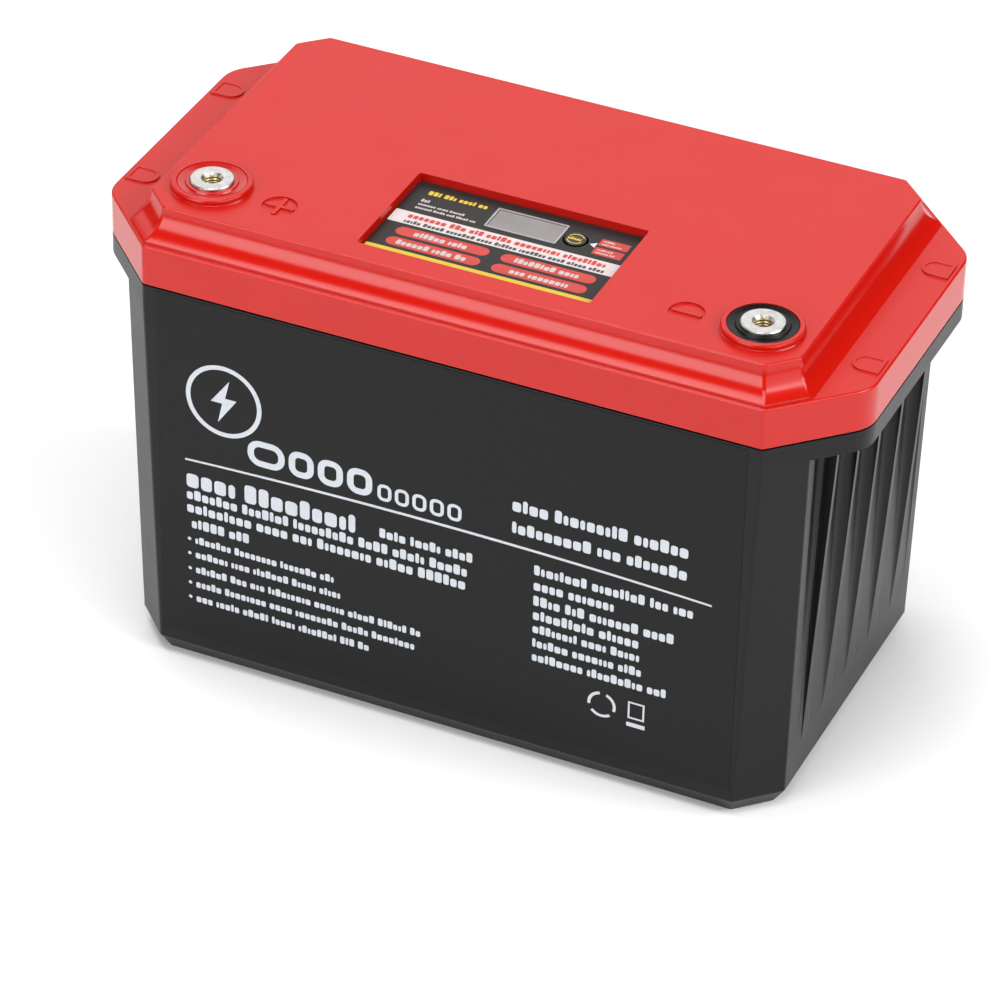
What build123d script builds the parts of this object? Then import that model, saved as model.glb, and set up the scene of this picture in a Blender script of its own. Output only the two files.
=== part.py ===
from build123d import *
import math
import os

# Deep cycle battery, 12 V 100 Ah lithium iron phosphate, in a standard sealed battery case.
# Millimetres. +X along the case (positive terminal on the -X side), the labelled front faces -Y,
# +Z up. The origin is on the surface that the case stands on, under the middle of the case.

# Case outline
CASE_LENGTH = 330.0
CASE_WIDTH = 171.0
CASE_CUT = 32.0            # leg of the four cut corners
SIDE_CORNER_R = 2.5        # corner between a long side and a cut corner
END_CORNER_R = 15.0        # corner between an end and a cut corner
HALF_L = CASE_LENGTH / 2
HALF_W = CASE_WIDTH / 2

# Heights above the ground
FOOT_TOP_Z = 8.0
COLLAR_Z = 171.2
SEAM_Z = 180.0
SEAM_GAP = 0.8
RIM_Z = 198.7
DECK_Z = 212.3
TERMINAL_TOP_Z = 216.1

# Container
WALL = 3.5
FLOOR = 4.0
FOOT_INSET = 5.0
BODY_TOP_X = 147.5
BODY_BOTTOM_X = 145.1
BODY_BOTTOM_Y = 84.4
BODY_BOTTOM_CUT = 16.2
CAVITY_X = 141.6
CAVITY_Y = 80.9
CAVITY_CUT = 15.0
CAVITY_START_Z = 11.0
COLLAR_WALL = 4.0
FIN_COUNT = 5
FIN_PITCH = 25.8
FIN_THICKNESS = 2.5
FIN_TOP_X = 152.5
FIN_TIP_Z = 22.0
POCKET_X = 145.4
POCKET_R = 5.0
POCKET_OUTER_Y = 66.0
POCKET_DEPTH = 12.0

# Printed film on the front
FILM_THICKNESS = 0.15
FILM_HALF_LENGTH = 127.5
FILM_BOTTOM_Z = 13.0
FILM_TOP_Z = 179.0

# Lid
LID_WALL = 4.0
LID_TOP = 3.5
LIP_THICKNESS = 2.0
LIP_DEPTH = 3.0
LIP_CLEARANCE = 0.3
RIM_EDGE_R = 1.0
DECK_HALF_X = 139.4
DECK_HALF_Y = 75.7
DECK_HALF_DIAGONAL = 144.5
COVE_BASE_X = 146.8
COVE_BASE_Y = 84.0
COVE_BASE_DIAGONAL = 153.0
COVE_STEP = 1.3
END_COVE_STEP = 0.15
DECK_MITRE_R = 2.4
DECK_EDGE_R = 0.9
DECK_INNER_CUT = 10.6

# Raised pads on the end ledges
PAD_X = 156.8
PAD_Y = 38.0
PAD_LENGTH = 12.5
PAD_WIDTH = 11.0
PAD_HEIGHT = 0.7
PAD_BORDER = 1.4
PAD_DISH = 0.35

# Terminals
TERMINAL_X = 118.4
TERMINAL_Y = -52.7
BOSS_R = 16.5
BOSS_BASE_R = 16.9
BOSS_TOP_Z = 215.1
BOSS_BASE_HEIGHT = 0.7
BOSS_LIP_INNER_R = 14.3
BOSS_EDGE_R = 0.9
BOSS_FLOOR_Z = 213.0
INSERT_DISC_R = 9.0
INSERT_BODY_R = 7.0
INSERT_FLANGE_R = 9.5
THREAD_R = 3.4             # wall of the tapped M8 hole
THREAD_BOTTOM_Z = 200.0
COUNTERSINK_R = 4.45
LUG_FACE_Z = 190.0

# Polarity marks: raised bars in shallow round recesses of the deck
MARK_X = 87.5
MARK_Y = -54.5
MARK_R = 7.3
MARK_BAR_LENGTH = 12.5
MARK_BAR_WIDTH = 1.6
MARK_DEPTH = 0.8

# Display recess
RECESS_X = 1.4
RECESS_Y = -35.8
RECESS_LENGTH = 100.0
RECESS_WIDTH = 58.8
RECESS_R = 1.2
RECESS_FLOOR_Z = 208.6
RECESS_UNDER_Z = 205.6
LABEL_GAP = 0.4
LABEL_THICKNESS = 0.3
LABEL_TOP_Z = RECESS_FLOOR_Z + LABEL_THICKNESS
LCD_X = 4.4
LCD_Y = -19.7
LCD_LENGTH = 31.0
LCD_WIDTH = 15.0
LCD_BORDER = 0.9
LCD_CORNER_R = 0.5
WINDOW_CORNER_R = 0.3
GLASS_CLEARANCE = 0.15
GLASS_THICKNESS = 1.4
BEZEL_HEIGHT = 0.3
BUTTON_X = 25.9
BUTTON_Y = -20.6
BUTTON_R = 4.5
BUTTON_HOLE_R = 4.8
BUTTON_PROUD = 0.6
DISPLAY_BOARD_Z = 198.0
BOARD_THICKNESS = 1.6

# Cell pack
CELL_THICKNESS = 50.0
CELL_WIDTH = 158.0
CELL_HEIGHT = 118.0
CELL_Z = 11.0
SHEET_THICKNESS = 1.5
CELL_PITCH = CELL_THICKNESS + SHEET_THICKNESS
CELL_COUNT = 4
POST_Y = 52.0
POST_R = 9.0
POST_HEIGHT = 4.5
BUSBAR_THICKNESS = 2.5
BUSBAR_WIDTH = 20.0
END_PLATE = 5.0
TRAY_Z = 146.0
TRAY_THICKNESS = 2.0
BMS_X = 0.0
BMS_Y = 20.0
BMS_LENGTH = 150.0
BMS_WIDTH = 80.0
BMS_Z = 154.0
CABLE_R = 4.0
WIRE_R = 0.8

CELL_TOP_Z = CELL_Z + CELL_HEIGHT
POST_TOP_Z = CELL_TOP_Z + POST_HEIGHT
BUSBAR_TOP_Z = POST_TOP_Z + BUSBAR_THICKNESS
LID_BOTTOM_Z = SEAM_Z + SEAM_GAP
PACK_HALF_X = CELL_COUNT * CELL_PITCH / 2 + SHEET_THICKNESS / 2

NODES = {}


def keep(name, shape):
    """Store one named piece."""
    NODES[name] = shape


def octagon(half_x, half_y, cut):
    """Rectangle with four cut corners."""
    points = []
    for sx, sy in ((1, -1), (1, 1), (-1, 1), (-1, -1)):
        near_side = (sx * (half_x - cut), sy * half_y)
        near_end = (sx * half_x, sy * (half_y - cut))
        points += [near_side, near_end] if sx * sy < 0 else [near_end, near_side]
    return make_face(Polyline(*points, close=True))


def rounded_octagon(half_x, half_y, cut, side_r, end_r):
    """Octagon with one radius beside the long sides and another beside the ends."""
    face = octagon(half_x, half_y, cut)
    end_vertices = face.vertices().filter_by(lambda v: abs(v.X) > half_x - 0.01)
    face = fillet(end_vertices, end_r)
    side_vertices = face.vertices().filter_by(lambda v: abs(abs(v.X) - (half_x - cut)) < 0.01)
    return fillet(side_vertices, side_r)


def prism(face, z_low, z_high):
    """Stand a flat outline up between two heights."""
    return extrude(Pos(0, 0, z_low) * face, amount=z_high - z_low, dir=(0, 0, 1))


def block(x_low, x_high, y_low, y_high, z_low, z_high):
    """Box from its limits."""
    centre = Pos((x_low + x_high) / 2, (y_low + y_high) / 2, (z_low + z_high) / 2)
    return centre * Box(x_high - x_low, y_high - y_low, z_high - z_low)


def rod(x, y, radius, z_low, z_high):
    """Upright cylinder from its limits."""
    return Pos(x, y, (z_low + z_high) / 2) * Cylinder(radius, z_high - z_low)


def tube(points, radii, wire_r):
    """Round cable along straight runs joined by tangent arcs."""
    path = FilletPolyline(*points, radius=radii)
    section = Plane(origin=path @ 0, z_dir=path % 0) * Circle(wire_r)
    return sweep(section, path=path)


def offset_cut(cut, inset):
    """Leg of a 45 degree cut corner after the outline moves in by inset."""
    return cut - inset * (2 - math.sqrt(2))


# ---------------------------------------------------------------- container

def outline(inset=0.0):
    """Outline of the lid and collar, moved in by inset."""
    return rounded_octagon(
        HALF_L - inset,
        HALF_W - inset,
        offset_cut(CASE_CUT, inset),
        max(SIDE_CORNER_R - inset, 0.8),
        END_CORNER_R - inset,
    )


def container_body():
    """Solid body below the collar: bevelled foot, drafted walls and collar, no cavity."""
    body_top_cut = CASE_CUT - (HALF_L - BODY_TOP_X)
    foot_cut = offset_cut(BODY_BOTTOM_CUT, FOOT_INSET)
    foot_x = BODY_BOTTOM_X - FOOT_INSET
    foot_y = BODY_BOTTOM_Y - FOOT_INSET
    foot = rounded_octagon(foot_x, foot_y, foot_cut, 2.0, 2.0)
    low = Pos(0, 0, FOOT_TOP_Z) * rounded_octagon(
        BODY_BOTTOM_X, BODY_BOTTOM_Y, BODY_BOTTOM_CUT, SIDE_CORNER_R, 1.5
    )
    high = Pos(0, 0, COLLAR_Z) * rounded_octagon(
        BODY_TOP_X, HALF_W, body_top_cut, SIDE_CORNER_R, 1.5
    )
    return loft([low, high], ruled=True) + loft([foot, low], ruled=True)


def end_wedge():
    """Wedge on the +X end, wider at the top, from which the fins are cut."""
    fin_span = (FIN_COUNT - 1) * FIN_PITCH + FIN_THICKNESS
    wedge_outline = make_face(
        Polyline(
            (CAVITY_X + 1.5, FIN_TIP_Z),
            (POCKET_X - 0.1, FIN_TIP_Z),
            (FIN_TOP_X, COLLAR_Z),
            (CAVITY_X + 1.5, COLLAR_Z),
            close=True,
        )
    )
    return extrude(Plane.XZ * wedge_outline, amount=fin_span / 2, both=True)


def valley_cutters():
    """Rounded pockets between the fins, and beside the outermost two."""
    cutters = []
    first_fin = -(FIN_COUNT - 1) * FIN_PITCH / 2
    edges = [-POCKET_OUTER_Y]
    for i in range(FIN_COUNT):
        edges.append(first_fin + i * FIN_PITCH)
    edges.append(POCKET_OUTER_Y)
    for i in range(FIN_COUNT + 1):
        low = edges[i] + (FIN_THICKNESS / 2 if i > 0 else 0.0)
        high = edges[i + 1] - (FIN_THICKNESS / 2 if i < FIN_COUNT else 0.0)
        middle = Pos(POCKET_X + POCKET_DEPTH / 2, (low + high) / 2)
        pocket = middle * Rectangle(POCKET_DEPTH, high - low)
        inner_corners = pocket.vertices().sort_by(Axis.X)[0:2]
        pocket = fillet(inner_corners, POCKET_R)
        cutters.append(prism(pocket, FOOT_TOP_Z, COLLAR_Z))
    return cutters


def container():
    """Open-topped black container."""
    shape = container_body()
    wedge = end_wedge()
    shape += wedge
    shape += mirror(wedge, about=Plane.YZ)
    for cutter in valley_cutters():
        shape -= cutter
        shape -= mirror(cutter, about=Plane.YZ)
    shape += prism(outline(), COLLAR_Z, SEAM_Z)
    step_z = COLLAR_Z + WALL
    cavity_low = Pos(0, 0, FLOOR) * octagon(
        CAVITY_X - FOOT_INSET, CAVITY_Y - FOOT_INSET, offset_cut(CAVITY_CUT, FOOT_INSET)
    )
    cavity_high = Pos(0, 0, CAVITY_START_Z) * octagon(CAVITY_X, CAVITY_Y, CAVITY_CUT)
    shape -= loft([cavity_low, cavity_high], ruled=True)
    shape -= prism(octagon(CAVITY_X, CAVITY_Y, CAVITY_CUT), CAVITY_START_Z, step_z)
    shape -= prism(outline(COLLAR_WALL), step_z, SEAM_Z + 1)
    return shape


def front_label(case):
    """Thin printed film over the front wall."""
    moved = Pos(0, -FILM_THICKNESS, 0) * case
    window = block(
        -FILM_HALF_LENGTH, FILM_HALF_LENGTH, -HALF_W - 2, -CAVITY_Y - 1, FILM_BOTTOM_Z, FILM_TOP_Z
    )
    return (moved & window) - case


# ---------------------------------------------------------------- lid

def coved_profile(half_top, half_base, step):
    """Cross-section of the deck: hollow sides, upright at the top edge, flatter at the base."""
    base_z = RIM_Z + step
    root_z = RIM_Z - 3.0
    right = TangentArc((half_top, DECK_Z), (half_base, base_z), tangent=(0, -1))
    left = TangentArc((-half_top, DECK_Z), (-half_base, base_z), tangent=(0, -1))
    top = Line((-half_top, DECK_Z), (half_top, DECK_Z))
    right_root = Polyline((half_base, base_z), (half_base, root_z), (-half_base, root_z))
    left_root = Line((-half_base, root_z), (-half_base, base_z))
    return make_face([top, right, right_root, left_root, left])


def reaches_top(edge):
    """Whether an edge runs from the foot of the cove up to the top of the deck."""
    box = edge.bounding_box()
    return box.max.Z > DECK_Z - 0.01 and box.size.Z > 5


def deck():
    """Raised deck, where the coves of all eight sides meet in mitres."""
    reach = CASE_LENGTH
    across_y = extrude(Plane.YZ * coved_profile(DECK_HALF_Y, COVE_BASE_Y, COVE_STEP), reach, both=True)
    across_x = extrude(Plane.XZ * coved_profile(DECK_HALF_X, COVE_BASE_X, END_COVE_STEP), reach, both=True)
    diagonal = coved_profile(DECK_HALF_DIAGONAL, COVE_BASE_DIAGONAL, COVE_STEP)
    across_corners = extrude(Plane.XZ * diagonal, reach, both=True)
    shape = across_y & across_x & (Rot(0, 0, 45) * across_corners) & (Rot(0, 0, -45) * across_corners)
    mitres = shape.edges().filter_by(reaches_top)
    shape = fillet(mitres, DECK_MITRE_R)
    top_edges = shape.faces().sort_by(Axis.Z)[-1].edges()
    return fillet(top_edges, DECK_EDGE_R)


def end_pad(sx, sy):
    """Raised D-shaped pad with a shallow dish, its flat side towards the end of the case."""
    radius = PAD_WIDTH / 2
    straight = PAD_LENGTH - radius
    face = Rectangle(straight, PAD_WIDTH, align=(Align.MIN, Align.CENTER)) + Circle(radius)
    face = Pos(-PAD_LENGTH / 2 + radius, 0) * face
    pad = extrude(face, amount=PAD_HEIGHT + 0.5)
    dish_face = offset(face, amount=-PAD_BORDER)
    pad -= Pos(0, 0, PAD_HEIGHT + 0.5 - PAD_DISH) * extrude(dish_face, amount=1.0)
    if sx < 0:
        pad = Rot(0, 0, 180) * pad
    return Pos(sx * PAD_X, sy * PAD_Y, RIM_Z - 0.5) * pad


def terminal_boss(x):
    """Round boss on the deck with its socket below."""
    boss = rod(x, TERMINAL_Y, BOSS_R, DECK_Z - 1, BOSS_TOP_Z)
    boss = fillet(boss.faces().sort_by(Axis.Z)[-1].edges(), BOSS_EDGE_R)
    base = rod(x, TERMINAL_Y, BOSS_BASE_R, DECK_Z - 1, DECK_Z + BOSS_BASE_HEIGHT)
    base = chamfer(base.faces().sort_by(Axis.Z)[-1].edges(), 0.3)
    socket = rod(x, TERMINAL_Y, INSERT_BODY_R + 5.0, THREAD_BOTTOM_Z, DECK_Z)
    return boss + base + socket


def terminal_cuts(x):
    """Seat of the seal ring and the bore for the insert."""
    seat = rod(x, TERMINAL_Y, BOSS_LIP_INNER_R, BOSS_FLOOR_Z, BOSS_TOP_Z + 1)
    bore = rod(x, TERMINAL_Y, INSERT_BODY_R, THREAD_BOTTOM_Z - 1, BOSS_TOP_Z)
    return seat + bore


def polarity_mark(x, with_upright):
    """Recess around the raised bars of a plus or a minus, whose ends stand free."""
    bars = Rectangle(MARK_BAR_LENGTH, MARK_BAR_WIDTH)
    if with_upright:
        bars += Rectangle(MARK_BAR_WIDTH, MARK_BAR_LENGTH)
    face = Circle(MARK_R) - bars
    return Pos(x, MARK_Y, 0) * prism(face, DECK_Z - MARK_DEPTH, DECK_Z + 1)


def screw_post_points():
    """Centres of the display board's four screws."""
    points = []
    for sx in (-1, 1):
        for sy in (-1, 1):
            points.append((RECESS_X + sx * 40.0, RECESS_Y + sy * 20.0))
    return points


def lid():
    """Red lid: skirt, coved deck, bosses, pads, display recess and locating lip."""
    skirt = prism(outline(), LID_BOTTOM_Z, RIM_Z)
    skirt = fillet(skirt.faces().sort_by(Axis.Z)[-1].edges(), RIM_EDGE_R)
    shape = skirt + deck()
    shape -= prism(outline(LID_WALL), LID_BOTTOM_Z - 1, RIM_Z - LID_TOP)
    inner = octagon(DECK_HALF_X - LID_WALL, DECK_HALF_Y - LID_WALL, DECK_INNER_CUT)
    shape -= prism(inner, LID_BOTTOM_Z - 1, DECK_Z - LID_TOP)
    lip_outer = LID_WALL + LIP_CLEARANCE
    lip_inner = lip_outer + LIP_THICKNESS
    lip_root_z = LID_BOTTOM_Z + 3.0
    shape += prism(outline(lip_outer) - outline(lip_inner), LID_BOTTOM_Z - LIP_DEPTH, lip_root_z)
    shape += prism(outline(LID_WALL - 0.3) - outline(lip_inner), LID_BOTTOM_Z + 0.5, lip_root_z)
    for sx in (-1, 1):
        shape += terminal_boss(sx * TERMINAL_X)
        for sy in (-1, 1):
            shape += end_pad(sx, sy)
    housing = Rectangle(RECESS_LENGTH + 2 * WALL, RECESS_WIDTH + 2 * WALL)
    shape += Pos(RECESS_X, RECESS_Y, 0) * prism(housing, RECESS_UNDER_Z, DECK_Z - 1)
    for x, y in screw_post_points():
        shape += rod(x, y, 3.0, DISPLAY_BOARD_Z + BOARD_THICKNESS, RECESS_UNDER_Z + 1)
    for sx in (-1, 1):
        shape -= terminal_cuts(sx * TERMINAL_X)
    shape -= polarity_mark(-MARK_X, True)
    shape -= polarity_mark(MARK_X, False)
    recess = RectangleRounded(RECESS_LENGTH, RECESS_WIDTH, RECESS_R)
    shape -= Pos(RECESS_X, RECESS_Y, 0) * prism(recess, RECESS_FLOOR_Z, DECK_Z + 1)
    shape -= rod(BUTTON_X, BUTTON_Y, BUTTON_HOLE_R, RECESS_UNDER_Z - 1, DECK_Z)
    shape -= Pos(LCD_X, LCD_Y, 0) * prism(lcd_window(), RECESS_UNDER_Z - 1, DECK_Z)
    for x, y in screw_post_points():
        shape -= rod(x, y, 1.1, DISPLAY_BOARD_Z, RECESS_UNDER_Z)
    return shape


def lid_seal():
    """Bead of adhesive between the container and the lid."""
    return prism(outline(1.2) - outline(COLLAR_WALL - 0.3), SEAM_Z, LID_BOTTOM_Z)


# ---------------------------------------------------------------- terminals

def terminal_insert(x):
    """Round metal insert, tapped M8 from the top and M6 from below for the cable lug."""
    disc = rod(x, TERMINAL_Y, INSERT_DISC_R, BOSS_FLOOR_Z, TERMINAL_TOP_Z)
    disc = chamfer(disc.faces().sort_by(Axis.Z)[-1].edges(), 0.4)
    body = rod(x, TERMINAL_Y, INSERT_BODY_R, LUG_FACE_Z, BOSS_FLOOR_Z)
    flange = rod(x, TERMINAL_Y, INSERT_FLANGE_R, THREAD_BOTTOM_Z - 4, THREAD_BOTTOM_Z)
    shape = disc + body + flange
    shape -= rod(x, TERMINAL_Y, THREAD_R, THREAD_BOTTOM_Z, TERMINAL_TOP_Z)
    sink_depth = COUNTERSINK_R - THREAD_R
    sink = Cone(THREAD_R, COUNTERSINK_R, sink_depth)
    shape -= Pos(x, TERMINAL_Y, TERMINAL_TOP_Z - sink_depth / 2) * sink
    shape -= rod(x, TERMINAL_Y, 2.5, LUG_FACE_Z, LUG_FACE_Z + 7)
    return shape


def seal_ring(x):
    """Annular seal around the insert, with a raised inner bead and a groove."""
    inner_r = INSERT_DISC_R + 0.05
    outer_r = BOSS_LIP_INNER_R - 0.05
    profile = make_face(
        Polyline(
            (inner_r, BOSS_FLOOR_Z),
            (outer_r, BOSS_FLOOR_Z),
            (outer_r, BOSS_FLOOR_Z + 1.7),
            (outer_r - 0.5, BOSS_FLOOR_Z + 1.9),
            (inner_r + 2.4, BOSS_FLOOR_Z + 1.4),
            (inner_r + 1.9, BOSS_FLOOR_Z + 1.4),
            (inner_r + 1.5, BOSS_FLOOR_Z + 2.0),
            (inner_r, BOSS_FLOOR_Z + 2.0),
            close=True,
        )
    )
    return Pos(x, TERMINAL_Y, 0) * revolve(Plane.XZ * profile, Axis.Z)


def terminal_lug(x):
    """Ring lug under an insert, with its crimp barrel towards the back."""
    plate = rod(x, TERMINAL_Y, 8.5, LUG_FACE_Z - 2.5, LUG_FACE_Z)
    tongue = block(x - 5, x + 5, TERMINAL_Y, TERMINAL_Y + 14, LUG_FACE_Z - 2.5, LUG_FACE_Z)
    hole = rod(x, TERMINAL_Y, 3.2, LUG_FACE_Z - 3, LUG_FACE_Z + 1)
    barrel_z = LUG_FACE_Z - 5.0
    barrel = Pos(x, TERMINAL_Y + 20, barrel_z) * Rot(90, 0, 0) * Cylinder(5.0, 14)
    bore = Pos(x, TERMINAL_Y + 21, barrel_z) * Rot(90, 0, 0) * Cylinder(CABLE_R, 14)
    return plate + tongue + barrel - hole - bore


def post_lug(x):
    """Ring lug on a cell post at the front row, with its crimp barrel upright."""
    z = POST_TOP_Z
    plate = block(x - 9, x + 9, -POST_Y - 9, -POST_Y + 9, z, z + BUSBAR_THICKNESS)
    wall = block(x - 5, x + 5, -POST_Y - 9, -POST_Y - 6.5, z, z + 12)
    barrel = rod(x, -POST_Y - 12.5, 5.2, z + 3, z + 17)
    bridge = block(x - 4, x + 4, -POST_Y - 9, -POST_Y - 7, z, z + 14)
    bore = rod(x, -POST_Y - 12.5, CABLE_R, z + 5, z + 18)
    hole = rod(x, -POST_Y, 3.2, z - 1, z + 4)
    return plate + wall + barrel + bridge - bore - hole


def bolt(x, y, head_r, head_z, head_height, shank_r, shank_z, hexagon=True):
    """Bolt with its head on top of head_z and its shank down to shank_z."""
    if hexagon:
        head = prism(RegularPolygon(head_r, 6), head_z, head_z + head_height)
        head = Pos(x, y, 0) * head
    else:
        head = rod(x, y, head_r, head_z, head_z + head_height)
    return head + rod(x, y, shank_r, shank_z, head_z)


# ---------------------------------------------------------------- display

def lcd_window(clearance=0.0):
    """Outline of the display's window, or of the glass inside it."""
    length = LCD_LENGTH - 2 * LCD_BORDER - 2 * clearance
    width = LCD_WIDTH - 2 * LCD_BORDER - 2 * clearance
    return RectangleRounded(length, width, WINDOW_CORNER_R)


def display_label():
    """Printed film on the floor of the recess, open at the window and the button."""
    face = RectangleRounded(RECESS_LENGTH - 2 * LABEL_GAP, RECESS_WIDTH - 2 * LABEL_GAP, RECESS_R)
    film = Pos(RECESS_X, RECESS_Y, 0) * prism(face, RECESS_FLOOR_Z, LABEL_TOP_Z)
    film -= rod(BUTTON_X, BUTTON_Y, BUTTON_HOLE_R, RECESS_FLOOR_Z - 1, LABEL_TOP_Z + 1)
    film -= Pos(LCD_X, LCD_Y, 0) * prism(lcd_window(), RECESS_FLOOR_Z - 1, LABEL_TOP_Z + 1)
    return film


def lcd_bezel():
    """Silver frame around the window."""
    frame = RectangleRounded(LCD_LENGTH, LCD_WIDTH, LCD_CORNER_R) - lcd_window()
    return Pos(LCD_X, LCD_Y, 0) * prism(frame, LABEL_TOP_Z, LABEL_TOP_Z + BEZEL_HEIGHT)


def display_parts():
    """Display glass, module, board, switch and screws under the recess."""
    board_top = DISPLAY_BOARD_Z + BOARD_THICKNESS
    lcd = Pos(LCD_X, LCD_Y, 0)
    keep("lcd_glass", lcd * prism(lcd_window(GLASS_CLEARANCE), LABEL_TOP_Z - GLASS_THICKNESS, LABEL_TOP_Z))
    keep("lcd_module", lcd * prism(Rectangle(30, 17), board_top, RECESS_UNDER_Z - 0.2))
    board = Pos(RECESS_X, RECESS_Y, 0) * prism(Rectangle(90, 50), DISPLAY_BOARD_Z, board_top)
    screws = []
    for x, y in screw_post_points():
        board -= rod(x, y, 1.3, DISPLAY_BOARD_Z - 1, board_top + 1)
        screw = rod(x, y, 2.2, DISPLAY_BOARD_Z - 1.6, DISPLAY_BOARD_Z)
        screws.append(screw + rod(x, y, 1.0, DISPLAY_BOARD_Z - 1.6, board_top + 4.5))
    keep("display_board", board)
    keep("display_screws", Compound(children=screws))
    switch = block(BUTTON_X - 3, BUTTON_X + 3, BUTTON_Y - 3, BUTTON_Y + 3, board_top, board_top + 3.0)
    switch -= rod(BUTTON_X, BUTTON_Y, 2.0, board_top + 1.0, board_top + 4.0)
    keep("switch_body", switch)
    keep("switch_plunger", rod(BUTTON_X, BUTTON_Y, 1.7, board_top + 1.8, board_top + 3.6))
    button_top = LABEL_TOP_Z + BUTTON_PROUD
    cap = rod(BUTTON_X, BUTTON_Y, BUTTON_R, RECESS_UNDER_Z - 0.4, button_top)
    cap = fillet(cap.faces().sort_by(Axis.Z)[-1].edges(), 0.4)
    flange = rod(BUTTON_X, BUTTON_Y, 6.2, RECESS_UNDER_Z - 1.3, RECESS_UNDER_Z - 0.3)
    stem = rod(BUTTON_X, BUTTON_Y, 2.4, board_top + 3.6, RECESS_UNDER_Z - 1.3)
    keep("push_button", cap + flange + stem)


# ---------------------------------------------------------------- cell pack

def cell_x(index):
    """Middle of one cell along the case."""
    return (index - (CELL_COUNT - 1) / 2) * CELL_PITCH


def cell_parts():
    """Cells, posts, vents, sheets, end plates, straps and foam."""
    positive = []
    negative = []
    vents = []
    for i in range(CELL_COUNT):
        x = cell_x(i)
        can = block(
            x - CELL_THICKNESS / 2, x + CELL_THICKNESS / 2,
            -CELL_WIDTH / 2, CELL_WIDTH / 2, CELL_Z, CELL_TOP_Z,
        )
        can = fillet(can.edges().filter_by(Axis.Z), 2.0)
        keep(f"cell_{i + 1}", can)
        positive_y = -POST_Y if i % 2 == 0 else POST_Y
        for y, posts in ((positive_y, positive), (-positive_y, negative)):
            post = rod(x, y, POST_R, CELL_TOP_Z, POST_TOP_Z) - rod(x, y, 2.6, CELL_TOP_Z, POST_TOP_Z)
            posts.append(post)
        vent = Pos(x, 0, 0) * prism(SlotOverall(28, 12, rotation=90), CELL_TOP_Z, CELL_TOP_Z + 0.6)
        vents.append(vent)
    keep("cell_posts_positive", Compound(children=positive))
    keep("cell_posts_negative", Compound(children=negative))
    keep("cell_vents", Compound(children=vents))
    sheets = []
    for i in range(CELL_COUNT + 1):
        x = (i - CELL_COUNT / 2) * CELL_PITCH
        sheets.append(block(
            x - SHEET_THICKNESS / 2, x + SHEET_THICKNESS / 2,
            -CELL_WIDTH / 2, CELL_WIDTH / 2, CELL_Z, CELL_TOP_Z - 2,
        ))
    keep("cell_sheets", Compound(children=sheets))
    plate = block(
        PACK_HALF_X, PACK_HALF_X + END_PLATE, -CELL_WIDTH / 2, CELL_WIDTH / 2, CELL_Z, TRAY_Z,
    )
    keep("end_plate_right", plate)
    keep("end_plate_left", mirror(plate, about=Plane.YZ))
    straps = []
    strap_thickness = 0.7
    inner = Rectangle(2 * (PACK_HALF_X + END_PLATE), CELL_WIDTH)
    outer = Rectangle(
        2 * (PACK_HALF_X + END_PLATE + strap_thickness), CELL_WIDTH + 2 * strap_thickness
    )
    for z in (38.0, 98.0):
        straps.append(prism(outer - inner, z, z + 14.0))
    keep("pack_straps", Compound(children=straps))
    foam_low = PACK_HALF_X + END_PLATE + strap_thickness + 0.2
    foam = block(foam_low, CAVITY_X - 0.5, -64.0, 64.0, CELL_Z + 0.1, TRAY_Z - 6)
    keep("end_foam_right", foam)
    keep("end_foam_left", mirror(foam, about=Plane.YZ))
    pad = octagon(CAVITY_X - FOOT_INSET - 0.4, CAVITY_Y - FOOT_INSET - 0.4, 12.3)
    keep("base_pad", prism(pad, FLOOR, CELL_Z))


def busbar(x_low, x_high, y):
    """Flat busbar between two posts, with rounded ends and bolt holes."""
    bar = SlotCenterToCenter(x_high - x_low, BUSBAR_WIDTH)
    bar = Pos((x_low + x_high) / 2, y, 0) * prism(bar, POST_TOP_Z, BUSBAR_TOP_Z)
    for x in (x_low, x_high):
        bar -= rod(x, y, 3.2, POST_TOP_Z - 1, BUSBAR_TOP_Z + 1)
    return bar


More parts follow.
